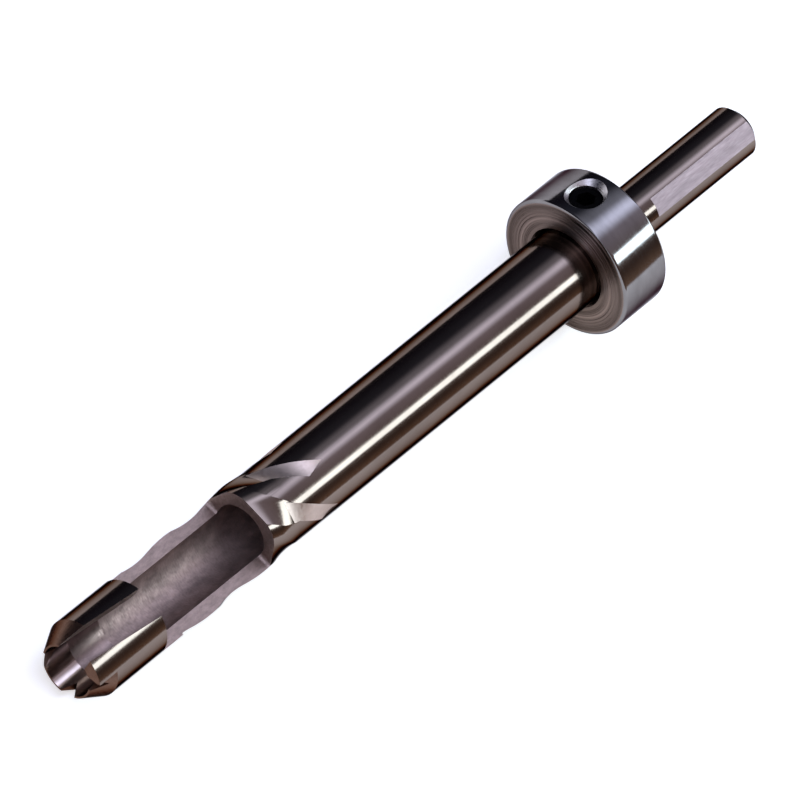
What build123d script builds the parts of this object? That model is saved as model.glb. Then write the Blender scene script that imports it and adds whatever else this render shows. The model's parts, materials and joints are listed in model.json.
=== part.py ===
from build123d import *
from math import atan2, cos, radians, sin, tan
import os

# A plug cutter with an adjustable depth stop. Sizes are in millimetres.
# Places along the tool are measured from the cutting tip towards the shank.
# Angles round the tool are measured from the direction that the window faces.

# Cutting head
bore_radius = 4.8
tip_land = 0.35
head_length = 16.7
head_rise = 0.21
head_back_taper = 0.07
spur_bevel_length = 4.3
bevel_overcut = 1.0
raker_start = -10.0
raker_end = 55.0

# Chip slot through the near wall of the head
slot_width = 5.7
slot_angle = 2.0
slot_slant = 5.0

# Gashes that part the teeth
gash_width = 2.7
gash_depth = 3.0
gash_lean = 0.85
gash_overcut = 1.0
gash_first_angle = 79.0
gash_pitch = 90.0
gash_count = 3

# Hollow barrel and its window
bore_land_length = 13.3
bore_relief = 0.2
bore_depth = 54.0
drill_point_angle = 118.0
window_length = 27.0
window_floor_drop = 0.9
window_corner_radius = 0.8

# Helical flutes: a shallow bed beside a crowned ridge that stands proud of the body
flute_count = 5
flute_lead = 67.2
flute_start = 22.0
flute_phase = -6.1
bed_depth = 0.185
bed_end_angle = 24.0
bed_end_rise = 0.655
ridge_foot_angle = 18.0
ridge_crown_angle = 34.0
ridge_crown_rise = 0.355
ridge_back_angle = 60.0
ridge_back_rise = 0.205
ridge_full_start = 26.0
ridge_full_end = 44.5
ridge_run_out = 6.0
ridge_stock = 0.555
flute_end = 57.6
flute_end_rise = 9.3
flute_end_shift = 2.2

# Solid body and shank
body_radius = 7.145
body_end = 137.5
body_edge = 0.5
shank_radius = 4.75
shank_length = 33.0
shank_end_edge = 1.0
flat_depth = 0.32
flat_length = 25.7
flat_angle = 30.6

# Depth stop collar, its hole and its set screw
collar_radius = 13.0
collar_width = 10.5
collar_edge = 0.35
collar_bore_edge = 0.45
collar_setback = 0.8
sliding_clearance = 0.05
screw_angle = -25.0
screw_radius = 2.95
thread_clearance = 0.05
countersink_radius = 3.85
screw_recess = 1.3
screw_point_gap = 0.05
screw_edge = 0.35
screw_point_edge = 0.6
cup_radius = 1.6
cup_depth = 0.6
socket_width = 3.0
socket_floor = 0.9

# Worked out from the sizes above
head_radius = body_radius + head_rise
head_back_radius = head_radius - head_back_taper
stock_radius = body_radius + ridge_stock
relief_radius = bore_radius + bore_relief
tip_radius = bore_radius + tip_land
window_end = head_length + window_length
overall_length = body_end + shank_length
collar_front = body_end - collar_setback - collar_width
collar_middle = collar_front + collar_width / 2
collar_bore_radius = body_radius + sliding_clearance
screw_hole_radius = screw_radius + thread_clearance
screw_foot = body_radius + screw_point_gap
screw_top = collar_radius - screw_recess
flute_rate = 360 / flute_lead
flute_angle = 360 / flute_count
socket_depth = screw_top - screw_foot - cup_depth - socket_floor

# The tool lies on the rim of its collar and on the edge of its cutting head
tilt = atan2(collar_radius - head_radius, collar_front + collar_edge - spur_bevel_length)
along = Vector(cos(tilt), 0, sin(tilt))
upward = Vector(-sin(tilt), 0, cos(tilt))
sideways = Vector(0, -1, 0)
tip_height = head_radius * cos(tilt) - spur_bevel_length * sin(tilt)
tip_back = -(overall_length * cos(tilt) + shank_radius * sin(tilt) - head_radius * sin(tilt)) / 2
tip = Vector(tip_back, 0, tip_height)
tool_axis = Axis(tip, along)


def outward(angle):
    """Direction straight out from the tool's axis at an angle round it."""
    return upward * cos(radians(angle)) + sideways * sin(radians(angle))


def cross_section(place, angle=0.0):
    """Plane across the tool, its X pointing outward at the angle."""
    return Plane(origin=tip + along * place, x_dir=outward(angle), z_dir=along)


def lengthwise(angle=0.0):
    """Plane through the tool's axis, X along the tool and Y outward."""
    return Plane(origin=tip, x_dir=along, z_dir=along.cross(outward(angle)))


def radial(place, angle):
    """Plane square to an outward direction, X along the tool."""
    return Plane(origin=tip + along * place, x_dir=along, z_dir=outward(angle))


def polar(rise, angle):
    """Point of a cross-section at an angle, by how far it rises over the body."""
    radius = body_radius + rise
    return (radius * cos(radians(angle)), radius * sin(radians(angle)))


def flute_cutter(number):
    """Waste over one flute's bed and the ridge beside it, twisted along the tool."""
    start_angle = number * flute_angle - flute_phase + flute_rate * (flute_start - window_end)
    ridge_back = polar(ridge_back_rise, -ridge_back_angle)
    ridge_foot = polar(0, -ridge_foot_angle)
    bed_end = polar(bed_end_rise, bed_end_angle)
    with BuildSketch(cross_section(flute_start, start_angle)) as section:
        with BuildLine():
            ThreePointArc(ridge_back, polar(ridge_crown_rise, -ridge_crown_angle), ridge_foot)
            ThreePointArc(ridge_foot, polar(-bed_depth, 0), bed_end)
            Polyline(
                bed_end,
                polar(body_radius, bed_end_angle),
                polar(body_radius, -ridge_back_angle),
                ridge_back,
            )
        make_face()
    run = flute_end + flute_end_rise - flute_start
    waste = Solid.extrude_linear_with_rotation(
        section.sketch.face(), tip + along * flute_start, along * run, flute_rate * run
    )
    bed_angle = start_angle + flute_rate * (flute_end - flute_start)
    round_the_tool = along.cross(outward(bed_angle))
    leaving = along * flute_end_shift + round_the_tool * flute_end_rise
    end_plane = Plane(origin=tip + along * flute_end, z_dir=leaving)
    return waste.split(end_plane, keep=Keep.BOTTOM)


with BuildPart() as plug_cutter:
    with BuildSketch(lengthwise(flat_angle)):
        with BuildLine():
            Polyline(
                (0, 0),
                (0, head_radius),
                (head_length, head_back_radius),
                (flute_start, head_back_radius),
                (ridge_full_start, stock_radius),
                (ridge_full_end, stock_radius),
                (ridge_full_end + ridge_run_out, body_radius),
                (body_end - body_edge, body_radius),
                (body_end, body_radius - body_edge),
                (body_end, shank_radius),
                (overall_length - shank_end_edge, shank_radius),
                (overall_length, shank_radius - shank_end_edge),
                (overall_length, 0),
                close=True,
            )
        make_face()
    revolve(axis=tool_axis)

    for number in range(flute_count):
        add(flute_cutter(number), mode=Mode.SUBTRACT)

    with BuildSketch(lengthwise()):
        point_depth = relief_radius / tan(radians(drill_point_angle / 2))
        with BuildLine():
            Polyline(
                (0, 0),
                (0, bore_radius),
                (bore_land_length, bore_radius),
                (bore_land_length, relief_radius),
                (bore_depth, relief_radius),
                (bore_depth + point_depth, 0),
                close=True,
            )
        make_face()
    revolve(axis=tool_axis, mode=Mode.SUBTRACT)

    with BuildSketch(lengthwise()) as window:
        with BuildLine():
            Polyline(
                (head_length, 2 * head_radius),
                (head_length, -window_floor_drop),
                (window_end, -window_floor_drop),
                (window_end, 2 * head_radius),
                close=True,
            )
        make_face()
        floor_corners = window.vertices().group_by(Axis.Y)[0]
        fillet(floor_corners.sort_by(Axis.X)[-1], window_corner_radius)
    extrude(amount=2 * head_radius, both=True, mode=Mode.SUBTRACT)

    slot_plane = radial(head_length / 2, slot_angle)
    with BuildSketch(slot_plane):
        Rectangle(2 * head_length, slot_width, rotation=-slot_slant)
    extrude(amount=2 * head_radius, mode=Mode.SUBTRACT)

    for number in range(gash_count):
        with BuildSketch(radial(0, gash_first_angle + number * gash_pitch)):
            with BuildLine():
                overcut_share = gash_overcut / gash_depth
                back_slope = gash_width - gash_lean
                Polyline(
                    (-gash_overcut, -gash_lean * overcut_share),
                    (gash_depth, gash_lean),
                    (-gash_overcut, gash_width + back_slope * overcut_share),
                    close=True,
                )
            make_face()
        extrude(amount=2 * head_radius, mode=Mode.SUBTRACT)

    with BuildSketch(lengthwise(raker_end)):
        slope = (head_radius - tip_radius) / spur_bevel_length
        with BuildLine():
            Polyline(
                (-bevel_overcut, tip_radius - slope * bevel_overcut),
                (spur_bevel_length + bevel_overcut, head_radius + slope * bevel_overcut),
                (-bevel_overcut, head_radius + slope * bevel_overcut),
                close=True,
            )
        make_face()
    revolve(axis=tool_axis, revolution_arc=360 + raker_start - raker_end, mode=Mode.SUBTRACT)

    flat_place = overall_length - flat_length / 2
    with BuildSketch(radial(flat_place, flat_angle).offset(shank_radius - flat_depth)):
        Rectangle(flat_length, 2 * shank_radius)
    extrude(amount=shank_radius, mode=Mode.SUBTRACT)

with BuildPart() as stop_collar:
    with BuildSketch(lengthwise()):
        collar_back = collar_front + collar_width
        with BuildLine():
            Polyline(
                (collar_front + collar_bore_edge, collar_bore_radius),
                (collar_front, collar_bore_radius + collar_bore_edge),
                (collar_front, collar_radius - collar_edge),
                (collar_front + collar_edge, collar_radius),
                (collar_back - collar_edge, collar_radius),
                (collar_back, collar_radius - collar_edge),
                (collar_back, collar_bore_radius + collar_bore_edge),
                (collar_back - collar_bore_edge, collar_bore_radius),
                close=True,
            )
        make_face()
    revolve(axis=tool_axis)
    with Locations(radial(collar_middle, screw_angle).offset(collar_radius)):
        CounterSinkHole(screw_hole_radius, countersink_radius, collar_radius)

with BuildPart() as set_screw:
    screw_plane = radial(collar_middle, screw_angle)
    with BuildSketch(Plane(origin=screw_plane.origin, x_dir=screw_plane.z_dir, z_dir=along)):
        with BuildLine():
            Polyline(
                (screw_foot + cup_depth, 0),
                (screw_foot, cup_radius),
                (screw_foot, screw_radius - screw_point_edge),
                (screw_foot + screw_point_edge, screw_radius),
                (screw_top - screw_edge, screw_radius),
                (screw_top, screw_radius - screw_edge),
                (screw_top, 0),
                close=True,
            )
        make_face()
    revolve(axis=Axis(screw_plane.origin, screw_plane.z_dir))
    with BuildSketch(screw_plane.offset(screw_top)):
        RegularPolygon(socket_width / 2, 6, major_radius=False)
    extrude(amount=-socket_depth, mode=Mode.SUBTRACT)

plug_cutter.part.label = "plug_cutter"
stop_collar.part.label = "stop_collar"
set_screw.part.label = "set_screw"

os.makedirs("parts", exist_ok=True)
export_step(plug_cutter.part, "parts/plug_cutter.step")
export_step(stop_collar.part, "parts/stop_collar.step")
export_step(set_screw.part, "parts/set_screw.step")
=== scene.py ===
import json
import math

import bmesh
import bpy
from mathutils import Matrix, Vector


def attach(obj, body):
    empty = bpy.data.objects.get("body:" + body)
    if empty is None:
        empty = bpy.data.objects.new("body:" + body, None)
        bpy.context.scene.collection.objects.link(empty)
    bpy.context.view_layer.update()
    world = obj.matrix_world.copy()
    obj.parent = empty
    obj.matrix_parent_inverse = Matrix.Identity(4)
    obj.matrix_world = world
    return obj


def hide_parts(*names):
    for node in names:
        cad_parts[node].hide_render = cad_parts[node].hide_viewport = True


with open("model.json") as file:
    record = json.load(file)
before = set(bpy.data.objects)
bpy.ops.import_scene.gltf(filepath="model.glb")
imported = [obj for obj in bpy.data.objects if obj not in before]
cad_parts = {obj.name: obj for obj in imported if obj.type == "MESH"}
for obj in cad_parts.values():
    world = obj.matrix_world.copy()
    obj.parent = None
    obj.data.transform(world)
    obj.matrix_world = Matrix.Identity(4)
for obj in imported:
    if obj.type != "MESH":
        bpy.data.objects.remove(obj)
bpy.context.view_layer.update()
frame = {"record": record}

bl_info = {
    "name": "Plug Cutter",
    "version": (1, 0, 0),
    "blender": (4, 5, 0),
    "location": "View3D > Sidebar > Plug Cutter",
    "description": "Dresses a plug cutter with its ground, turned and blackened steel",
    "category": "Object",
}

# The tool's own directions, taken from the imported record. Lengths are in metres.
MM = 0.001
MOUNTS = {mount["name"]: mount for mount in frame["record"]["mounts"]}
PLUG_BORE = MOUNTS["plug_bore"]
ALONG = -Vector(PLUG_BORE["axis"]).normalized()
SIDEWAYS = Vector((0, -1, 0))
UPWARD = SIDEWAYS.cross(ALONG).normalized()
TIP = Vector(PLUG_BORE["pos_m"]) - ALONG * PLUG_BORE["dims"]["length_mm"] / 2 * MM
TOOL_TURN = (0, math.atan2(-ALONG.z, ALONG.x), 0)

# The sizes below are in millimetres. Places along the tool are measured from the cutting tip
# towards the shank, and angles round it, in degrees, from the direction that the window faces.

# Cutting head
HEAD_RADIUS = 7.355
HEAD_BACK_RADIUS = 7.285
HEAD_LENGTH = 16.7
TIP_LAND = 0.35
BEVEL_LENGTH = 4.3
RAKER_START = -10.0
RAKER_END = 55.0

# Chip slot through the near wall of the head, and the gashes that part the teeth
SLOT_WIDTH = 5.7
SLOT_ANGLE = 2.0
SLOT_SLANT = 5.0
GASH_WIDTH = 2.7
GASH_DEPTH = 3.0
GASH_LEAN = 0.85
GASH_FIRST_ANGLE = 79.0
GASH_PITCH = 90.0
GASH_COUNT = 3

# Hollow barrel and its window
BORE_RADIUS = PLUG_BORE["dims"]["r_mm"]
BORE_LAND = PLUG_BORE["dims"]["length_mm"]
BORE_RELIEF = 0.2
BORE_DEPTH = 54.0
DRILL_POINT_ANGLE = 118.0
LIP_LENGTH = 5.9
WINDOW_END = 43.7
WINDOW_FLOOR = -0.9
WINDOW_CORNER = 0.8

# Helical flutes, each a shallow bed beside a crowned ridge. Their section is given as points of
# (rise over the body, angle), and the plane that ends a bed faces FLUTE_LEAVING, which is how far
# along the tool and how far round it.
FLUTE_COUNT = 5
FLUTE_LEAD = 67.2
FLUTE_PHASE = -6.1
FLUTE_START = 22.0
FLUTE_END = 57.6
FLUTE_LEAVING = (2.2, 9.3)
SATIN_START = 49.0
RIDGE_BACK = (0.205, -60.0)
RIDGE_CROWN = (0.355, -34.0)
RIDGE_FOOT = (0.0, -18.0)
BED_BOTTOM = (-0.185, 0.0)
BED_END = (0.655, 24.0)
RIDGE_STOCK = 0.555
RIDGE_FULL_START = 26.0
RIDGE_FULL_END = 44.5
RIDGE_GONE = 50.5

# Solid body and shank
BODY_RADIUS = 7.145
BODY_END = 137.5
BODY_EDGE = 0.5
SHANK_RADIUS = MOUNTS["shank"]["dims"]["r_mm"]
SHANK_EDGE = 1.0
TOOL_LENGTH = 170.5
FLAT_ANGLE = 30.6
FLAT_LENGTH = 25.7
FLAT_DEPTH = 0.32

# Stop collar and its screw hole, with the fine rings and the thread on them
COLLAR_FRONT = 126.2
COLLAR_WIDTH = 10.5
COLLAR_RADIUS = 13.0
COLLAR_BORE = 7.195
COLLAR_EDGE = 0.55
COLLAR_BORE_EDGE = 0.45
SCREW_HOLE = 3.0
COUNTERSINK = 3.85
RING_COUNT = 11
RING_INNER_MARGIN = 0.9
RING_OUTER_MARGIN = 0.6
RING_RIDGE = 0.035
THREAD_TURNS = 1
THREAD_PITCH = 0.3
THREAD_RIDGE = 0.13
THREAD_LIFT = 0.1

# Set screw
SCREW_ANGLE = -25.0
SCREW_TOP = 11.7
SCREW_GAP = 0.05
SCREW_RADIUS = 2.95
SCREW_EDGE = 0.35
SCREW_POINT_EDGE = 0.6
CUP_RADIUS = 1.6
CUP_DEPTH = 0.6
SOCKET_WIDTH = 3.0
SOCKET_LIFT = 1.5
SOCKET_REACH = 6.0

# How far a cutter reaches past what it cuts, and the steps of the round shapes
OVERCUT = 1.0
ROUND_STEPS = 240
FLUTE_STEPS = 96
ARC_STEPS = 20
CORNER_STEPS = 8
EDGE_STEPS = 6
RING_STEPS = 180
THREAD_STEPS = 72
RIDGE_SIDES = 4
RING_SEED = 7

# Worked out from the sizes above
RELIEF_RADIUS = BORE_RADIUS + BORE_RELIEF
TIP_RADIUS = BORE_RADIUS + TIP_LAND
STOCK_RADIUS = BODY_RADIUS + RIDGE_STOCK
SCREW_FOOT = BODY_RADIUS + SCREW_GAP
COLLAR_BACK = COLLAR_FRONT + COLLAR_WIDTH
COLLAR_MIDDLE = COLLAR_FRONT + COLLAR_WIDTH / 2
FLUTE_RATE = 360.0 / FLUTE_LEAD
CUT_REACH = 2 * HEAD_RADIUS

# Cleaning of a finished mesh, in metres, and the angles in degrees over which its edges stay crisp
MERGE_LENGTH = 5e-7
STRAY_LENGTH = 2e-7
BARREL_CREASE = 12.0
TURNED_CREASE = 20.0
RING_CREASE = 60.0

# The noise mostly falls between the low and the high value
NOISE_LOW = 0.3
NOISE_MIDDLE = 0.5
NOISE_HIGH = 0.7
NOISE_ROUGHNESS = 0.6
BROAD_DETAIL = 2.0
FINE_DETAIL = 3.0

# Shares of a finish's own roughness and tone at the low and the high noise
LINED_ROUGHNESS = (0.75, 1.3)
TURNED_ROUGHNESS = (0.7, 1.3)
TURNED_TONES = (0.45, 1.9)

# Tint of the light that grazes the steel, and two finishes' shares of the colour they start from. The
# countersink's share lightens the turned steel as a painted highlight.
EDGE_TINT = (1.0, 0.9, 0.95)
HONED_SHADE = 0.7
SUNK_PAINTED_HIGHLIGHT = 2.3

# Relief of the fine lines and of the faced rings, with its height in metres
LINE_HEIGHT = 0.00001
RING_HEIGHT = 0.00002
RING_STRENGTH = 0.5
RING_GRAIN = 5

# The camera looks down the tool from its tip, 34 degrees off square to it, and is rolled.
# VIEW_WIDTH is what its picture takes in at the tool, and AIM_RIGHT and AIM_UP are in pixels.
VIEW_TILT = math.radians(34)
VIEW_ROLL = math.radians(38.98)
VIEW_WIDTH = 131 * MM
VIEW_PIXELS = 800
VIEW_TURN = 10.0
AIM_PLACE = 85.4
AIM_RIGHT = 5.4
AIM_UP = 2.5
SENSOR_WIDTH = 36.0
CLIP_END = 100.0

# Strip lamp beside the tool and parallel to it. Its distance and its size are in metres.
KEY_ANGLE = VIEW_TURN + 35.5
KEY_PLACE = 80.0
KEY_DISTANCE = 0.8
KEY_WIDTH = 0.165
KEY_LENGTH = 1.2
KEY_COLOUR = (0.75, 0.92, 1.0)

# Colours of the studio at angles round the tool from the camera's side
WORLD_STOPS = (
    (-180, (0.3, 0.3, 0.3)),
    (-95, (0.02, 0.018, 0.03)),
    (-55, (0.05, 0.055, 0.08)),
    (-32, (0.5, 0.53, 0.66)),
    (-15, (2.4, 2.6, 3.4)),
    (3, (0.55, 0.5, 0.6)),
    (40, (0.3, 0.22, 0.2)),
    (55, (0.12, 0.075, 0.06)),
    (95, (0.52, 0.33, 0.23)),
    (180, (0.3, 0.3, 0.3)),
)

# Half of the floor's width in metres, its colour, and the strength of its own light
FLOOR_HALF = 3.0
FLOOR_COLOUR = (0.8, 0.8, 0.8, 1.0)
FLOOR_GLOW = 0.6

# Carries the tool's own millimetres (along it, up from it, to its side) to the scene
TOOL_FRAME = Matrix.Translation(TIP) @ Matrix((ALONG, UPWARD, SIDEWAYS)).transposed().to_4x4()
TOOL_FRAME = TOOL_FRAME @ Matrix.Scale(MM, 4)


def outward(angle):
    """Direction straight out from the tool's axis at an angle round it, in degrees."""
    turn = math.radians(angle)
    return UPWARD * math.cos(turn) + SIDEWAYS * math.sin(turn)


def tool_point(place, radius, angle):
    """Point in the tool's own millimetres, by its place, radius and angle in degrees."""
    turn = math.radians(angle)
    return Vector((place, radius * math.cos(turn), radius * math.sin(turn)))


def axis_point(place):
    """Point of the scene on the tool's axis, at a place along it."""
    return TOOL_FRAME @ Vector((place, 0, 0))


class BarrelFinish(bpy.types.PropertyGroup):
    """Finish of the barrel and the shank."""

    ground_colour: bpy.props.FloatVectorProperty(
        name="Ground steel",
        description="Colour of the ground and polished outside",
        default=(0.18, 0.142, 0.122),
        size=3,
        min=0.0,
        max=1.0,
        subtype="COLOR",
    )
    cut_colour: bpy.props.FloatVectorProperty(
        name="Milled steel",
        description="Colour of the matte faces that the window's cutter left",
        default=(0.28, 0.21, 0.185),
        size=3,
        min=0.0,
        max=1.0,
        subtype="COLOR",
    )
    bore_colour: bpy.props.FloatVectorProperty(
        name="Drilled steel",
        description="Colour of the matte bore",
        default=(0.335, 0.25, 0.228),
        size=3,
        min=0.0,
        max=1.0,
        subtype="COLOR",
    )
    flute_colour: bpy.props.FloatVectorProperty(
        name="Flutes",
        description="Colour of the satin ground flutes",
        default=(0.56, 0.455, 0.405),
        size=3,
        min=0.0,
        max=1.0,
        subtype="COLOR",
    )
    tooth_colour: bpy.props.FloatVectorProperty(
        name="Tooth faces",
        description="Colour of the faces ground between the teeth",
        default=(0.13, 0.078, 0.058),
        size=3,
        min=0.0,
        max=1.0,
        subtype="COLOR",
    )
    lip_colour: bpy.props.FloatVectorProperty(
        name="Bore lip",
        description="Colour of the polished mouth of the bore",
        default=(0.45, 0.375, 0.34),
        size=3,
        min=0.0,
        max=1.0,
        subtype="COLOR",
    )
    flat_colour: bpy.props.FloatVectorProperty(
        name="Shank flat",
        description="Colour of the brushed flat on the shank",
        default=(0.27, 0.21, 0.225),
        size=3,
        min=0.0,
        max=1.0,
        subtype="COLOR",
    )
    ground_roughness: bpy.props.FloatProperty(
        name="Ground roughness",
        description="Roughness of the ground and polished outside",
        default=0.13,
        min=0.0,
        max=1.0,
        subtype="FACTOR",
    )


class CollarFinish(bpy.types.PropertyGroup):
    """Finish of the stop collar and its screw."""

    turned_colour: bpy.props.FloatVectorProperty(
        name="Turned steel",
        description="Colour of the collar's turned outside",
        default=(0.2, 0.187, 0.185),
        size=3,
        min=0.0,
        max=1.0,
        subtype="COLOR",
    )
    face_colour: bpy.props.FloatVectorProperty(
        name="Collar face",
        description="Colour of the collar's faced ends",
        default=(0.155, 0.117, 0.102),
        size=3,
        min=0.0,
        max=1.0,
        subtype="COLOR",
    )
    black_colour: bpy.props.FloatVectorProperty(
        name="Black oxide",
        description="Colour of the blackened set screw",
        default=(0.02, 0.019, 0.02),
        size=3,
        min=0.0,
        max=1.0,
        subtype="COLOR",
    )


class StudioSetup(bpy.types.PropertyGroup):
    """Light and camera."""

    key_power: bpy.props.FloatProperty(
        name="Key light",
        description="Power of the crisp strip light",
        default=5.0,
        min=0.0,
        unit="POWER",
    )
    camera_distance: bpy.props.FloatProperty(
        name="Camera distance",
        description="Distance from the camera to the tool",
        default=5.8,
        min=0.5,
        unit="LENGTH",
    )


def new_material(name):
    """Empty material with its output and one metal shader."""
    material = bpy.data.materials.new(name)
    material.use_nodes = True
    nodes = material.node_tree.nodes
    nodes.clear()
    output = nodes.new("ShaderNodeOutputMaterial")
    shader = nodes.new("ShaderNodeBsdfPrincipled")
    shader.inputs["Metallic"].default_value = 1.0
    material.node_tree.links.new(shader.outputs["BSDF"], output.inputs["Surface"])
    return material, shader


def tool_coordinates(material):
    """Object coordinates turned to the tool, X along it from the tip, in millimetres."""
    nodes = material.node_tree.nodes
    source = nodes.new("ShaderNodeTexCoord")
    mapping = nodes.new("ShaderNodeMapping")
    mapping.vector_type = "TEXTURE"
    mapping.inputs["Location"].default_value = TIP
    mapping.inputs["Rotation"].default_value = TOOL_TURN
    mapping.inputs["Scale"].default_value = (MM, MM, MM)
    material.node_tree.links.new(source.outputs["Object"], mapping.inputs["Vector"])
    return mapping.outputs["Vector"]


def stretched_noise(material, vector, stretch, detail):
    """Noise whose grain is stretched along the directions of small scale."""
    nodes, links = material.node_tree.nodes, material.node_tree.links
    mapping = nodes.new("ShaderNodeMapping")
    mapping.inputs["Scale"].default_value = stretch
    noise = nodes.new("ShaderNodeTexNoise")
    noise.inputs["Scale"].default_value = 1.0
    noise.inputs["Detail"].default_value = detail
    noise.inputs["Roughness"].default_value = NOISE_ROUGHNESS
    links.new(vector, mapping.inputs["Vector"])
    links.new(mapping.outputs["Vector"], noise.inputs["Vector"])
    return noise.outputs["Fac"]


def ramp(owner, value, stops):
    """Colour ramp through (position, colour) stops, in a material or a world."""
    node = owner.node_tree.nodes.new("ShaderNodeValToRGB")
    elements = node.color_ramp.elements
    while len(elements) < len(stops):
        elements.new(1.0)
    for element, (position, colour) in zip(elements, stops):
        element.position = position
        element.color = (*colour, 1.0)
    owner.node_tree.links.new(value, node.inputs["Fac"])
    return node.outputs["Color"]


def spread(material, value, low, high):
    """A noise value carried to the range low to high."""
    node = material.node_tree.nodes.new("ShaderNodeMapRange")
    node.inputs["From Min"].default_value = NOISE_LOW
    node.inputs["From Max"].default_value = NOISE_HIGH
    node.inputs["To Min"].default_value = low
    node.inputs["To Max"].default_value = high
    material.node_tree.links.new(value, node.inputs["Value"])
    return node.outputs["Result"]


def bump(material, shader, height, strength, distance):
    """Raises the surface by a height value."""
    node = material.node_tree.nodes.new("ShaderNodeBump")
    node.inputs["Strength"].default_value = strength
    node.inputs["Distance"].default_value = distance
    material.node_tree.links.new(height, node.inputs["Height"])
    material.node_tree.links.new(node.outputs["Normal"], shader.inputs["Normal"])


def shade(colour, factor):
    """A colour made lighter or darker."""
    return tuple(min(1.0, channel * factor) for channel in colour)


def lined_steel(name, colour, roughness, lines, patches, strength, edge=0.1, mottle=0.14):
    """Steel with fine lines and slow patches of tone.

    lines and patches are scales along the tool, across it and up from it, per millimetre.
    edge tints the light that grazes it, and mottle is the share by which the tone changes.
    """
    material, shader = new_material(name)
    links = material.node_tree.links
    vector = tool_coordinates(material)
    fine = stretched_noise(material, vector, lines, FINE_DETAIL)
    slow = stretched_noise(material, vector, patches, FINE_DETAIL)
    stops = [(NOISE_LOW, shade(colour, 1 - mottle)), (NOISE_HIGH, shade(colour, 1 + mottle))]
    links.new(ramp(material, slow, stops), shader.inputs["Base Color"])
    low, high = LINED_ROUGHNESS
    rough = spread(material, fine, roughness * low, roughness * high)
    links.new(rough, shader.inputs["Roughness"])
    shader.inputs["Specular Tint"].default_value = (*shade(EDGE_TINT, edge), 1.0)
    bump(material, shader, fine, strength, LINE_HEIGHT)
    return material


def turned_steel(name, colour, roughness, bands, edge):
    """Steel faced in a lathe, its tone and sheen changing with the distance from the axis."""
    material, shader = new_material(name)
    nodes, links = material.node_tree.nodes, material.node_tree.links
    across = nodes.new("ShaderNodeVectorMath")
    across.operation = "MULTIPLY"
    across.inputs[1].default_value = (0, 1, 1)
    links.new(tool_coordinates(material), across.inputs[0])
    distance = nodes.new("ShaderNodeVectorMath")
    distance.operation = "LENGTH"
    links.new(across.outputs["Vector"], distance.inputs[0])
    radius = distance.outputs["Value"]
    broad = stretched_noise(material, radius, (bands, 0, 0), BROAD_DETAIL)
    fine = stretched_noise(material, radius, (bands * RING_GRAIN, 0, 0), FINE_DETAIL)
    dark, light = (shade(colour, share) for share in TURNED_TONES)
    stops = [(NOISE_LOW, dark), (NOISE_MIDDLE, colour), (NOISE_HIGH, light)]
    links.new(ramp(material, broad, stops), shader.inputs["Base Color"])
    low, high = TURNED_ROUGHNESS
    rough = spread(material, broad, roughness * low, roughness * high)
    links.new(rough, shader.inputs["Roughness"])
    shader.inputs["Specular Tint"].default_value = (edge, edge, edge, 1.0)
    bump(material, shader, fine, RING_STRENGTH, RING_HEIGHT)
    return material


def solid(name, work, materials):
    """Object made from a closed bmesh in the tool's millimetres."""
    bmesh.ops.recalc_face_normals(work, faces=work.faces)
    mesh = bpy.data.meshes.new(name)
    work.to_mesh(mesh)
    work.free()
    for material in materials:
        mesh.materials.append(material)
    piece = bpy.data.objects.new(name, mesh)
    bpy.context.scene.collection.objects.link(piece)
    return piece


def lathe(name, profile, materials, start=0.0, arc=360.0):
    """Closed profile of (place, radius, finish) turned round the tool's axis.

    finish is the place in materials of what covers the wall from that point to the next one.
    """
    work = bmesh.new()
    whole = arc >= 360.0
    count = ROUND_STEPS if whole else ROUND_STEPS + 1
    rings = []
    for place, radius, _ in profile:
        if radius == 0:
            rings.append([work.verts.new((place, 0, 0))] * count)
        else:
            turns = [start + arc * step / ROUND_STEPS for step in range(count)]
            rings.append([work.verts.new(tool_point(place, radius, turn)) for turn in turns])
    for near, (ring, (_, _, finish)) in enumerate(zip(rings, profile)):
        following = rings[(near + 1) % len(rings)]
        for step in range(ROUND_STEPS):
            ahead = (step + 1) % count
            corners = dict.fromkeys((ring[step], following[step], following[ahead], ring[ahead]))
            if len(corners) > 2:
                work.faces.new(list(corners)).material_index = finish
    if not whole:
        work.faces.new([ring[0] for ring in rings])
        work.faces.new([ring[-1] for ring in rings])
    return solid(name, work, materials)


def prism(name, points, origin, across, depth, material):
    """Outline of (along, across) points pushed out square to itself."""
    first = Vector((1, 0, 0))
    second = Vector(across)
    push = first.cross(second) * depth
    work = bmesh.new()
    base = [work.verts.new(Vector(origin) + first * x + second * y) for x, y in points]
    top = [work.verts.new(corner.co + push) for corner in base]
    work.faces.new(base)
    work.faces.new(top)
    for near in range(len(points)):
        far = (near + 1) % len(points)
        work.faces.new((base[near], base[far], top[far], top[near]))
    return solid(name, work, [material])


def radial_prism(name, points, place, angle, depth, material, lift=0.0):
    """Outline pushed straight out from the tool at an angle round it."""
    across = tool_point(0, 1, angle - 90)
    origin = tool_point(place, lift, angle)
    return prism(name, points, origin, across, depth, material)


def carve(blank, cutters):
    """Cuts the cutters out of the blank, whose finishes come along with their faces."""
    for cutter in cutters:
        cut = blank.modifiers.new(cutter.name, "BOOLEAN")
        cut.operation = "DIFFERENCE"
        cut.solver = "MANIFOLD"
        cut.material_mode = "TRANSFER"
        cut.object = cutter
    graph = bpy.context.evaluated_depsgraph_get()
    carved = bpy.data.meshes.new_from_object(blank.evaluated_get(graph), depsgraph=graph)
    blank.modifiers.clear()
    blank.data = carved
    for cutter in cutters:
        bpy.data.objects.remove(cutter)
    if not carved.polygons:
        raise RuntimeError(blank.name + " came out empty")


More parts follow.
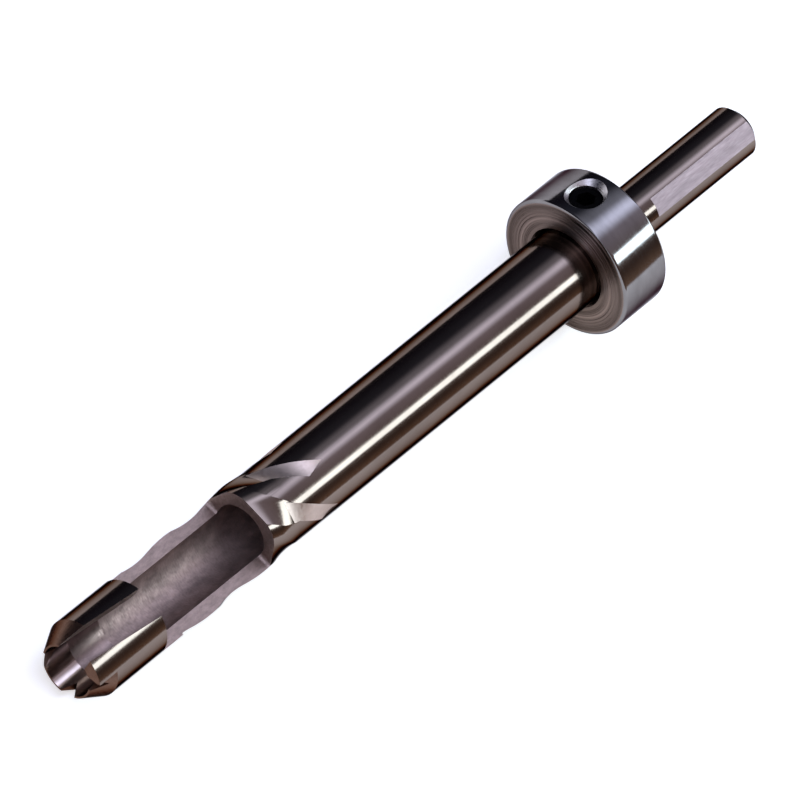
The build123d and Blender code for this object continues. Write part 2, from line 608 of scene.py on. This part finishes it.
def settle(piece, frame_matrix, crease):
    """Carries a piece's mesh to the scene and shades it smooth between its crisp edges."""
    mesh = piece.data
    mesh.transform(frame_matrix)
    work = bmesh.new()
    work.from_mesh(mesh)
    bmesh.ops.remove_doubles(work, verts=work.verts, dist=MERGE_LENGTH)
    bmesh.ops.dissolve_degenerate(work, dist=STRAY_LENGTH, edges=work.edges)
    work.to_mesh(mesh)
    work.free()
    mesh.shade_smooth()
    mesh.set_sharp_from_angle(angle=math.radians(crease))
    mesh.update()


def section_point(rise, angle):
    """Point of a cross-section, by how far it rises over the body and its angle."""
    return tool_point(0, BODY_RADIUS + rise, angle).yz


def arc_points(start, middle, end):
    """Points along the circle through three points of a cross-section."""
    first, second = middle - start, end - start
    double = 2 * first.cross(second)
    centre = start + Vector((
        (second.y * first.length_squared - first.y * second.length_squared) / double,
        (first.x * second.length_squared - second.x * first.length_squared) / double,
    ))
    sweep = (start - centre).angle_signed(end - centre)
    points = []
    for step in range(ARC_STEPS + 1):
        arm = start - centre
        arm.rotate(Matrix.Rotation(-sweep * step / ARC_STEPS, 2))
        points.append(centre + arm)
    return points


def flute_waste(number, materials):
    """Waste over one flute's bed and the ridge beside it, twisted along the tool."""
    start_angle = number * 360.0 / FLUTE_COUNT - FLUTE_PHASE + FLUTE_RATE * (FLUTE_START - WINDOW_END)
    foot = section_point(*RIDGE_FOOT)
    ridge = arc_points(section_point(*RIDGE_BACK), section_point(*RIDGE_CROWN), foot)
    bed = arc_points(foot, section_point(*BED_BOTTOM), section_point(*BED_END))
    far = [section_point(BODY_RADIUS, angle) for _, angle in (BED_END, RIDGE_BACK)]
    section = ridge + bed[1:] + far
    run = FLUTE_END + FLUTE_LEAVING[1] - FLUTE_START
    work = bmesh.new()
    rings = []
    for step in range(FLUTE_STEPS + 1):
        place = run * step / FLUTE_STEPS
        turn = Matrix.Rotation(math.radians(start_angle + FLUTE_RATE * place), 2)
        rings.append([work.verts.new((FLUTE_START + place, *(turn @ point))) for point in section])
    for near, ahead in zip(rings, rings[1:]):
        satin = near[0].co.x > SATIN_START
        for corner in range(len(section)):
            beside = (corner + 1) % len(section)
            face = work.faces.new((near[corner], near[beside], ahead[beside], ahead[corner]))
            face.material_index = 1 if satin and corner >= len(ridge) - 1 else 0
    work.faces.new(rings[0])
    work.faces.new(rings[-1])
    bed_angle = start_angle + FLUTE_RATE * (FLUTE_END - FLUTE_START)
    leaving = Vector((FLUTE_LEAVING[0], 0, 0)) + tool_point(0, FLUTE_LEAVING[1], bed_angle + 90)
    everything = work.verts[:] + work.edges[:] + work.faces[:]
    bmesh.ops.bisect_plane(
        work, geom=everything, plane_co=(FLUTE_END, 0, 0), plane_no=leaving, clear_outer=True
    )
    bmesh.ops.holes_fill(work, edges=[edge for edge in work.edges if edge.is_boundary])
    return solid("flute waste", work, materials)


def bore_waste(materials):
    """Waste of the bore: its polished lip, its land, and the relieved depth with its drill point."""
    point_depth = RELIEF_RADIUS / math.tan(math.radians(DRILL_POINT_ANGLE / 2))
    return lathe("bore waste", [
        (-OVERCUT, 0, 0),
        (-OVERCUT, BORE_RADIUS, 0),
        (LIP_LENGTH, BORE_RADIUS, 1),
        (BORE_LAND, BORE_RADIUS, 2),
        (BORE_LAND, RELIEF_RADIUS, 2),
        (BORE_DEPTH, RELIEF_RADIUS, 2),
        (BORE_DEPTH + point_depth, 0, 0),
    ], materials)


def window_waste(material):
    """Waste of the side window, with the rounded corner at its closed end."""
    points = [(HEAD_LENGTH, CUT_REACH), (HEAD_LENGTH, WINDOW_FLOOR)]
    for step in range(CORNER_STEPS + 1):
        turn = math.radians(90 * step / CORNER_STEPS)
        points.append((
            WINDOW_END - WINDOW_CORNER + WINDOW_CORNER * math.sin(turn),
            WINDOW_FLOOR + WINDOW_CORNER - WINDOW_CORNER * math.cos(turn),
        ))
    points.append((WINDOW_END, CUT_REACH))
    return prism("window waste", points, (0, 0, -CUT_REACH), (0, 1, 0), 2 * CUT_REACH, material)


def slot_waste(material):
    """Waste of the chip slot, which crosses the near wall of the head at a slant."""
    slant = math.radians(SLOT_SLANT)
    half = SLOT_WIDTH / 2
    corners = [(-HEAD_LENGTH, -half), (HEAD_LENGTH, -half), (HEAD_LENGTH, half), (-HEAD_LENGTH, half)]
    turned = [
        (x * math.cos(slant) + y * math.sin(slant), y * math.cos(slant) - x * math.sin(slant))
        for x, y in corners
    ]
    return radial_prism("slot waste", turned, HEAD_LENGTH / 2, SLOT_ANGLE, CUT_REACH, material)


def gash_waste(number, material):
    """Waste of one leaning gash between the teeth."""
    back_slope = GASH_WIDTH - GASH_LEAN
    points = [
        (-OVERCUT, -GASH_LEAN * OVERCUT / GASH_DEPTH),
        (GASH_DEPTH, GASH_LEAN),
        (-OVERCUT, GASH_WIDTH + back_slope * OVERCUT / GASH_DEPTH),
    ]
    angle = GASH_FIRST_ANGLE + GASH_PITCH * number
    return radial_prism("gash waste", points, 0, angle, CUT_REACH, material)


def bevel_waste(material):
    """Waste of the bevel round the tip, which leaves out the raker tooth."""
    slope = (HEAD_RADIUS - TIP_RADIUS) / BEVEL_LENGTH
    return lathe("bevel waste", [
        (-OVERCUT, TIP_RADIUS - slope * OVERCUT, 0),
        (BEVEL_LENGTH + OVERCUT, HEAD_RADIUS + slope * OVERCUT, 0),
        (-OVERCUT, HEAD_RADIUS + slope * OVERCUT, 0),
    ], [material], RAKER_END, 360 + RAKER_START - RAKER_END)


def flat_waste(material):
    """Waste of the flat on the shank."""
    half = FLAT_LENGTH / 2
    end = half + OVERCUT
    points = [(-half, -SHANK_RADIUS), (end, -SHANK_RADIUS), (end, SHANK_RADIUS), (-half, SHANK_RADIUS)]
    return radial_prism(
        "flat waste", points, TOOL_LENGTH - half, FLAT_ANGLE, SHANK_RADIUS, material,
        SHANK_RADIUS - FLAT_DEPTH,
    )


class PLUGCUTTER_OT_barrel(bpy.types.Operator):
    """Make and dress the fluted barrel and the shank"""

    bl_idname = "plugcutter.barrel"
    bl_label = "Barrel and shank"

    def execute(self, context):
        look = context.scene.plug_barrel
        ground = lined_steel(
            "ground steel", look.ground_colour, roughness=look.ground_roughness,
            lines=(9.0, 0.5, 0.5), patches=(0.05, 0.12, 0.12), strength=0.25,
        )
        fluted = lined_steel(
            "flute steel", look.flute_colour, roughness=0.41,
            lines=(2.0, 3.0, 3.0), patches=(0.1, 0.3, 0.3), strength=0.25,
        )
        toothed = lined_steel(
            "tooth steel", look.tooth_colour, roughness=0.32,
            lines=(3.0, 3.0, 3.0), patches=(0.2, 0.4, 0.4), strength=0.5,
        )
        lip = lined_steel(
            "polished lip", look.lip_colour, roughness=0.14,
            lines=(8.0, 0.4, 0.4), patches=(0.2, 0.3, 0.3), strength=0.2,
        )
        land = lined_steel(
            "honed bore", shade(look.bore_colour, HONED_SHADE), roughness=0.36,
            lines=(6.0, 0.8, 0.8), patches=(0.3, 0.5, 0.5), strength=0.6, mottle=0.3,
        )
        bore = lined_steel(
            "drilled bore", look.bore_colour, roughness=0.6,
            lines=(5.0, 1.2, 1.2), patches=(0.3, 0.4, 0.4), strength=0.8, mottle=0.3,
        )
        milled = lined_steel(
            "milled steel", look.cut_colour, roughness=0.45,
            lines=(3.0, 6.0, 3.0), patches=(0.6, 1.4, 1.4), strength=0.6, mottle=0.2,
        )
        flat = lined_steel(
            "brushed flat", look.flat_colour, roughness=0.5,
            lines=(0.6, 9.0, 9.0), patches=(0.1, 0.5, 0.5), strength=0.5,
        )
        barrel = lathe("fluted_barrel", [
            (0, 0, 1),
            (0, HEAD_RADIUS, 0),
            (HEAD_LENGTH, HEAD_BACK_RADIUS, 0),
            (FLUTE_START, HEAD_BACK_RADIUS, 0),
            (RIDGE_FULL_START, STOCK_RADIUS, 0),
            (RIDGE_FULL_END, STOCK_RADIUS, 0),
            (RIDGE_GONE, BODY_RADIUS, 0),
            (BODY_END - BODY_EDGE, BODY_RADIUS, 0),
            (BODY_END, BODY_RADIUS - BODY_EDGE, 0),
            (BODY_END, SHANK_RADIUS, 0),
            (TOOL_LENGTH - SHANK_EDGE, SHANK_RADIUS, 0),
            (TOOL_LENGTH, SHANK_RADIUS - SHANK_EDGE, 0),
            (TOOL_LENGTH, 0, 0),
        ], [ground, toothed], FLAT_ANGLE)
        carve(barrel, [
            *(flute_waste(number, [ground, fluted]) for number in range(FLUTE_COUNT)),
            bore_waste([lip, land, bore]),
            window_waste(milled),
            slot_waste(fluted),
            *(gash_waste(number, toothed) for number in range(GASH_COUNT)),
            bevel_waste(toothed),
            flat_waste(flat),
        ])
        settle(barrel, TOOL_FRAME, BARREL_CREASE)
        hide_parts("plug_cutter")
        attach(barrel, "cutter")
        return {"FINISHED"}


def new_tree(name, numbers):
    """Geometry tree with one named input for each number and one for its material."""
    tree = bpy.data.node_groups.new(name, "GeometryNodeTree")
    tree.interface.new_socket(name="Geometry", in_out="OUTPUT", socket_type="NodeSocketGeometry")
    kinds = {int: "NodeSocketInt", float: "NodeSocketFloat"}
    inputs = {label: kinds[type(value)] for label, value in numbers.items()}
    inputs["Material"] = "NodeSocketMaterial"
    sockets = {
        label: tree.interface.new_socket(name=label, in_out="INPUT", socket_type=kind)
        for label, kind in inputs.items()
    }
    return tree, sockets


def math_node(tree, operation, first, second):
    """Sum, product or other result of two values or sockets."""
    node = tree.nodes.new("ShaderNodeMath")
    node.operation = operation
    for socket, value in zip(node.inputs, (first, second)):
        if isinstance(value, (int, float)):
            socket.default_value = value
        else:
            tree.links.new(value, socket)
    return node.outputs["Value"]


def swept(tree, source, curve, spots, scale, ridge):
    """Repeats a curve on points, gives it a thin section and a material, and ends the tree.

    scale is the socket that sizes each repeat, or None.
    """
    nodes, links = tree.nodes, tree.links
    repeat = nodes.new("GeometryNodeInstanceOnPoints")
    links.new(spots, repeat.inputs["Points"])
    links.new(curve, repeat.inputs["Instance"])
    if scale is not None:
        links.new(scale, repeat.inputs["Scale"])
    whole = nodes.new("GeometryNodeRealizeInstances")
    links.new(repeat.outputs["Instances"], whole.inputs["Geometry"])
    section = nodes.new("GeometryNodeCurvePrimitiveCircle")
    section.inputs["Resolution"].default_value = RIDGE_SIDES
    links.new(ridge, section.inputs["Radius"])
    sweep = nodes.new("GeometryNodeCurveToMesh")
    links.new(whole.outputs["Geometry"], sweep.inputs["Curve"])
    links.new(section.outputs["Curve"], sweep.inputs["Profile Curve"])
    dress = nodes.new("GeometryNodeSetMaterial")
    links.new(sweep.outputs["Mesh"], dress.inputs["Geometry"])
    links.new(source.outputs["Material"], dress.inputs["Material"])
    output = nodes.new("NodeGroupOutput")
    links.new(dress.outputs["Geometry"], output.inputs["Geometry"])


def ring_tree(numbers):
    """Tree of fine concentric rings between two radii."""
    tree, sockets = new_tree("turned rings", numbers)
    nodes, links = tree.nodes, tree.links
    source = nodes.new("NodeGroupInput")
    spots = nodes.new("GeometryNodePoints")
    links.new(source.outputs["Rings"], spots.inputs["Count"])
    index = nodes.new("GeometryNodeInputIndex")
    chance = nodes.new("FunctionNodeRandomValue")
    chance.inputs["Seed"].default_value = RING_SEED
    links.new(index.outputs["Index"], chance.inputs["ID"])
    step = math_node(tree, "ADD", index.outputs["Index"], chance.outputs[1])
    share = math_node(tree, "DIVIDE", step, source.outputs["Rings"])
    band = math_node(tree, "SUBTRACT", source.outputs["Outer Radius"], source.outputs["Inner Radius"])
    grown = math_node(tree, "MULTIPLY", share, band)
    radius = math_node(tree, "ADD", grown, source.outputs["Inner Radius"])
    circle = nodes.new("GeometryNodeCurvePrimitiveCircle")
    circle.inputs["Resolution"].default_value = RING_STEPS
    circle.inputs["Radius"].default_value = 1.0
    swept(
        tree, source, circle.outputs["Curve"], spots.outputs["Points"], radius, source.outputs["Ridge"]
    )
    return tree, sockets


def thread_tree(numbers):
    """Tree of thread turns, one above the other."""
    tree, sockets = new_tree("thread turns", numbers)
    nodes, links = tree.nodes, tree.links
    source = nodes.new("NodeGroupInput")
    spots = nodes.new("GeometryNodePoints")
    links.new(source.outputs["Turns"], spots.inputs["Count"])
    index = nodes.new("GeometryNodeInputIndex")
    height = math_node(tree, "MULTIPLY", index.outputs["Index"], source.outputs["Pitch"])
    place = nodes.new("ShaderNodeCombineXYZ")
    links.new(height, place.inputs["Z"])
    links.new(place.outputs["Vector"], spots.inputs["Position"])
    helix = nodes.new("GeometryNodeCurveSpiral")
    helix.inputs["Resolution"].default_value = THREAD_STEPS
    helix.inputs["Rotations"].default_value = 1.0
    links.new(source.outputs["Hole Radius"], helix.inputs["Start Radius"])
    links.new(source.outputs["Hole Radius"], helix.inputs["End Radius"])
    links.new(source.outputs["Pitch"], helix.inputs["Height"])
    swept(tree, source, helix.outputs["Curve"], spots.outputs["Points"], None, source.outputs["Ridge"])
    return tree, sockets


def grown_piece(name, make_tree, numbers, material, frame_matrix):
    """Piece made by a geometry tree, turned into a plain mesh and carried to its place."""
    tree, sockets = make_tree(numbers)
    piece = bpy.data.objects.new(name, bpy.data.meshes.new(name))
    bpy.context.scene.collection.objects.link(piece)
    grower = piece.modifiers.new(name, "NODES")
    grower.node_group = tree
    for label, value in {**numbers, "Material": material}.items():
        grower[sockets[label].identifier] = value
    graph = bpy.context.evaluated_depsgraph_get()
    mesh = bpy.data.meshes.new_from_object(piece.evaluated_get(graph), depsgraph=graph)
    piece.modifiers.remove(grower)
    piece.data = mesh
    if not mesh.polygons:
        raise RuntimeError(name + " came out empty")
    settle(piece, frame_matrix, RING_CREASE)
    return piece


def rounded_edge(place, edge, last):
    """Profile points of the collar's rounded outer edge, whose last point starts another finish.

    edge is the radius of the round, and is negative at the back of the collar.
    """
    points = []
    for step in range(EDGE_STEPS + 1):
        turn = math.radians(90 * step / EDGE_STEPS)
        along = place + edge * (1 - math.sin(turn))
        points.append((along, COLLAR_RADIUS - abs(edge) * (1 - math.cos(turn)), 0))
    if edge > 0:
        points.reverse()
    points[-1] = (*points[-1][:2], last)
    return points


def face_frame(place):
    """Frame of a face square to the tool at a place along it."""
    turn = Matrix(((0, 1, 0), (0, 0, 1), (1, 0, 0))).transposed().to_4x4()
    return TOOL_FRAME @ Matrix.Translation((place, 0, 0)) @ turn


def screw_frame(height):
    """Frame of the screw's axis, Z straight out from the tool, at a height over its axis."""
    out = tool_point(0, 1, SCREW_ANGLE)
    along = Vector((1, 0, 0))
    turn = Matrix((along, out.cross(along), out)).transposed().to_4x4()
    return TOOL_FRAME @ Matrix.Translation(tool_point(COLLAR_MIDDLE, height, SCREW_ANGLE)) @ turn


def turned_pin(name, profile, materials):
    """Piece turned round the screw's axis, from (height, radius, finish) points."""
    piece = lathe(name, profile, materials)
    stand = Matrix(((0, 0, 1), (1, 0, 0), (0, 1, 0))).transposed().to_4x4()
    piece.data.transform(TOOL_FRAME.inverted() @ screw_frame(0) @ stand)
    return piece


class PLUGCUTTER_OT_collar(bpy.types.Operator):
    """Make and dress the stop collar"""

    bl_idname = "plugcutter.collar"
    bl_label = "Stop collar"

    def execute(self, context):
        look = context.scene.plug_collar
        turned = lined_steel(
            "turned collar", look.turned_colour, roughness=0.11,
            lines=(7.0, 0.3, 0.3), patches=(0.3, 0.12, 0.12), strength=0.3, edge=0.2,
        )
        faced = turned_steel("faced collar", look.face_colour, roughness=0.32, bands=0.9, edge=0.3)
        # The countersink, the screw hole and its thread get a lighter copy of the turned steel, a
        # painted highlight.
        sunk_painted_highlight = lined_steel(
            "countersunk steel", shade(look.turned_colour, SUNK_PAINTED_HIGHLIGHT), roughness=0.3,
            lines=(3.0, 3.0, 3.0), patches=(0.3, 0.3, 0.3), strength=0.3, edge=0.5,
        )
        collar = lathe("depth_collar", [
            (COLLAR_FRONT + COLLAR_BORE_EDGE, COLLAR_BORE, 0),
            (COLLAR_FRONT, COLLAR_BORE + COLLAR_BORE_EDGE, 1),
            *rounded_edge(COLLAR_FRONT, COLLAR_EDGE, 0),
            *rounded_edge(COLLAR_BACK, -COLLAR_EDGE, 1),
            (COLLAR_BACK, COLLAR_BORE + COLLAR_BORE_EDGE, 0),
            (COLLAR_BACK - COLLAR_BORE_EDGE, COLLAR_BORE, 0),
        ], [turned, faced])
        past = 2 * OVERCUT
        hole = turned_pin("hole waste", [
            (0, 0, 0),
            (0, SCREW_HOLE, 0),
            (COLLAR_RADIUS - (COUNTERSINK - SCREW_HOLE), SCREW_HOLE, 0),
            (COLLAR_RADIUS + past, COUNTERSINK + past, 0),
            (COLLAR_RADIUS + past, 0, 0),
        ], [sunk_painted_highlight])
        carve(collar, [hole])
        settle(collar, TOOL_FRAME, TURNED_CREASE)
        rings = {
            "Rings": RING_COUNT,
            "Inner Radius": COLLAR_BORE + RING_INNER_MARGIN,
            "Outer Radius": COLLAR_RADIUS - RING_OUTER_MARGIN,
            "Ridge": RING_RIDGE,
        }
        thread = {
            "Turns": THREAD_TURNS,
            "Pitch": THREAD_PITCH,
            "Hole Radius": SCREW_HOLE,
            "Ridge": THREAD_RIDGE,
        }
        thread_foot = screw_frame(SCREW_TOP + THREAD_LIFT)
        parts = [
            collar,
            grown_piece("front_rings", ring_tree, rings, faced, face_frame(COLLAR_FRONT)),
            grown_piece("back_rings", ring_tree, rings, faced, face_frame(COLLAR_BACK)),
            grown_piece("hole_thread", thread_tree, thread, sunk_painted_highlight, thread_foot),
        ]
        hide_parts("stop_collar")
        for part in parts:
            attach(part, "collar")
        return {"FINISHED"}


class PLUGCUTTER_OT_screw(bpy.types.Operator):
    """Make and dress the socket set screw"""

    bl_idname = "plugcutter.screw"
    bl_label = "Set screw"

    def execute(self, context):
        look = context.scene.plug_collar
        black = lined_steel(
            "black oxide", look.black_colour, roughness=0.35,
            lines=(4.0, 4.0, 4.0), patches=(0.5, 0.5, 0.5), strength=0.3,
        )
        screw = turned_pin("socket_screw", [
            (SCREW_FOOT + CUP_DEPTH, 0, 0),
            (SCREW_FOOT, CUP_RADIUS, 0),
            (SCREW_FOOT, SCREW_RADIUS - SCREW_POINT_EDGE, 0),
            (SCREW_FOOT + SCREW_POINT_EDGE, SCREW_RADIUS, 0),
            (SCREW_TOP - SCREW_EDGE, SCREW_RADIUS, 0),
            (SCREW_TOP, SCREW_RADIUS - SCREW_EDGE, 0),
            (SCREW_TOP, 0, 0),
        ], [black])
        reach = SOCKET_WIDTH / 2 / math.cos(math.radians(30))
        turns = [math.radians(30 + 60 * corner) for corner in range(6)]
        hexagon = [(reach * math.cos(turn), reach * math.sin(turn)) for turn in turns]
        socket = radial_prism(
            "socket waste", hexagon, COLLAR_MIDDLE, SCREW_ANGLE, SOCKET_REACH, black,
            SCREW_FOOT + SOCKET_LIFT,
        )
        carve(screw, [socket])
        settle(screw, TOOL_FRAME, TURNED_CREASE)
        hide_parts("set_screw")
        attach(screw, "screw")
        return {"FINISHED"}


def aim_camera(distance):
    """Makes the camera at the photograph's viewing angle."""
    facing = outward(VIEW_TURN)
    back = ALONG * -math.sin(VIEW_TILT) + facing * math.cos(VIEW_TILT)
    along_view = (ALONG + back * math.sin(VIEW_TILT)) / math.cos(VIEW_TILT)
    across_view = ALONG.cross(facing)
    right = along_view * math.cos(VIEW_ROLL) + across_view * math.sin(VIEW_ROLL)
    up = along_view * math.sin(VIEW_ROLL) - across_view * math.cos(VIEW_ROLL)
    pixel = VIEW_WIDTH / VIEW_PIXELS
    aim = axis_point(AIM_PLACE) - right * AIM_RIGHT * pixel - up * AIM_UP * pixel
    turn = Matrix((right, up, back)).transposed().to_4x4()
    data = bpy.data.cameras.new("Camera")
    data.sensor_width = SENSOR_WIDTH
    data.lens = SENSOR_WIDTH * distance / VIEW_WIDTH
    data.clip_end = CLIP_END
    camera = bpy.data.objects.new("Camera", data)
    camera.matrix_world = Matrix.Translation(aim + back * distance) @ turn
    bpy.context.scene.collection.objects.link(camera)
    bpy.context.scene.camera = camera


def place_strip(power):
    """Long area lamp beside the tool and parallel to it, which the camera doesn't see."""
    direction = ALONG * math.sin(VIEW_TILT) + outward(KEY_ANGLE) * math.cos(VIEW_TILT)
    data = bpy.data.lights.new("key strip", "AREA")
    data.shape = "RECTANGLE"
    data.size = KEY_LENGTH
    data.size_y = KEY_WIDTH
    data.energy = power
    data.color = KEY_COLOUR
    lamp = bpy.data.objects.new("key strip", data)
    x_axis = (ALONG - direction * ALONG.dot(direction)).normalized()
    turn = Matrix((x_axis, direction.cross(x_axis), direction)).transposed().to_4x4()
    place = axis_point(KEY_PLACE) + direction * KEY_DISTANCE
    lamp.matrix_world = Matrix.Translation(place) @ turn
    lamp.visible_camera = False
    bpy.context.scene.collection.objects.link(lamp)


class PLUGCUTTER_OT_studio(bpy.types.Operator):
    """Set the floor, the lamps and the camera"""

    bl_idname = "plugcutter.studio"
    bl_label = "Studio"

    def execute(self, context):
        setup = context.scene.plug_studio
        aim_camera(setup.camera_distance)
        place_strip(setup.key_power)
        self.make_world(context)
        self.make_floor()
        context.scene.view_settings.view_transform = "Standard"
        return {"FINISHED"}

    def make_world(self, context):
        """Dark studio with one soft band of light over the tool and a warm low side."""
        world = bpy.data.worlds.new("studio")
        context.scene.world = world
        world.use_nodes = True
        nodes, links = world.node_tree.nodes, world.node_tree.links
        nodes.clear()
        output = nodes.new("ShaderNodeOutputWorld")
        background = nodes.new("ShaderNodeBackground")
        links.new(background.outputs["Background"], output.inputs["Surface"])
        source = nodes.new("ShaderNodeTexCoord")
        angle = nodes.new("ShaderNodeMath")
        angle.operation = "ARCTAN2"
        for socket, axis in zip(angle.inputs, (outward(VIEW_TURN + 90), outward(VIEW_TURN))):
            dot = nodes.new("ShaderNodeVectorMath")
            dot.operation = "DOT_PRODUCT"
            dot.inputs[1].default_value = axis
            links.new(source.outputs["Generated"], dot.inputs[0])
            links.new(dot.outputs["Value"], socket)
        turn = nodes.new("ShaderNodeMapRange")
        turn.inputs["From Min"].default_value = -math.pi
        turn.inputs["From Max"].default_value = math.pi
        links.new(angle.outputs["Value"], turn.inputs["Value"])
        stops = [(degrees / 360 + 0.5, colour) for degrees, colour in WORLD_STOPS]
        band = ramp(world, turn.outputs["Result"], stops)
        band.node.color_ramp.interpolation = "EASE"
        links.new(band, background.inputs["Color"])

    def make_floor(self):
        """Pale floor that reads as white to the camera and in the metal, with the tool's shadow."""
        mesh = bpy.data.meshes.new("floor")
        half = FLOOR_HALF
        corners = [(-half, -half, 0), (half, -half, 0), (half, half, 0), (-half, half, 0)]
        mesh.from_pydata(corners, [], [(0, 1, 2, 3)])
        floor = bpy.data.objects.new("floor", mesh)
        bpy.context.scene.collection.objects.link(floor)
        material = bpy.data.materials.new("pale floor")
        material.use_nodes = True
        nodes, links = material.node_tree.nodes, material.node_tree.links
        nodes.clear()
        output = nodes.new("ShaderNodeOutputMaterial")
        add = nodes.new("ShaderNodeAddShader")
        matte = nodes.new("ShaderNodeBsdfDiffuse")
        matte.inputs["Color"].default_value = FLOOR_COLOUR
        glow = nodes.new("ShaderNodeEmission")
        path = nodes.new("ShaderNodeLightPath")
        seen = path.outputs["Is Camera Ray"]
        for name in ("Is Glossy Ray", "Is Transmission Ray"):
            seen = math_node(material.node_tree, "MAXIMUM", seen, path.outputs[name])
        level = math_node(material.node_tree, "MULTIPLY", seen, FLOOR_GLOW)
        links.new(level, glow.inputs["Strength"])
        links.new(matte.outputs["BSDF"], add.inputs[0])
        links.new(glow.outputs["Emission"], add.inputs[1])
        links.new(add.outputs["Shader"], output.inputs["Surface"])
        floor.data.materials.append(material)


class PLUGCUTTER_PT_panel(bpy.types.Panel):
    """Panel that lists the pieces and their finishes"""

    bl_idname = "PLUGCUTTER_PT_panel"
    bl_label = "Plug Cutter"
    bl_space_type = "VIEW_3D"
    bl_region_type = "UI"
    bl_category = "Plug Cutter"

    def draw(self, context):
        for group_name, _ in GROUPS:
            group = getattr(context.scene, group_name)
            for name in group.bl_rna.properties.keys():
                if name not in ("rna_type", "name"):
                    self.layout.prop(group, name)
        for operator in OPERATORS:
            self.layout.operator(operator.bl_idname)


GROUPS = (
    ("plug_barrel", BarrelFinish),
    ("plug_collar", CollarFinish),
    ("plug_studio", StudioSetup),
)
OPERATORS = (
    PLUGCUTTER_OT_barrel,
    PLUGCUTTER_OT_collar,
    PLUGCUTTER_OT_screw,
    PLUGCUTTER_OT_studio,
)


def register():
    for name, group in GROUPS:
        bpy.utils.register_class(group)
        setattr(bpy.types.Scene, name, bpy.props.PointerProperty(type=group))
    for operator in OPERATORS:
        bpy.utils.register_class(operator)
    bpy.utils.register_class(PLUGCUTTER_PT_panel)


def unregister():
    bpy.utils.unregister_class(PLUGCUTTER_PT_panel)
    for operator in reversed(OPERATORS):
        bpy.utils.unregister_class(operator)
    for name, group in reversed(GROUPS):
        delattr(bpy.types.Scene, name)
        bpy.utils.unregister_class(group)


def main():
    register()
    bpy.ops.plugcutter.barrel()
    bpy.ops.plugcutter.collar()
    bpy.ops.plugcutter.screw()
    bpy.ops.plugcutter.studio()


if __name__ == "__main__":
    main()
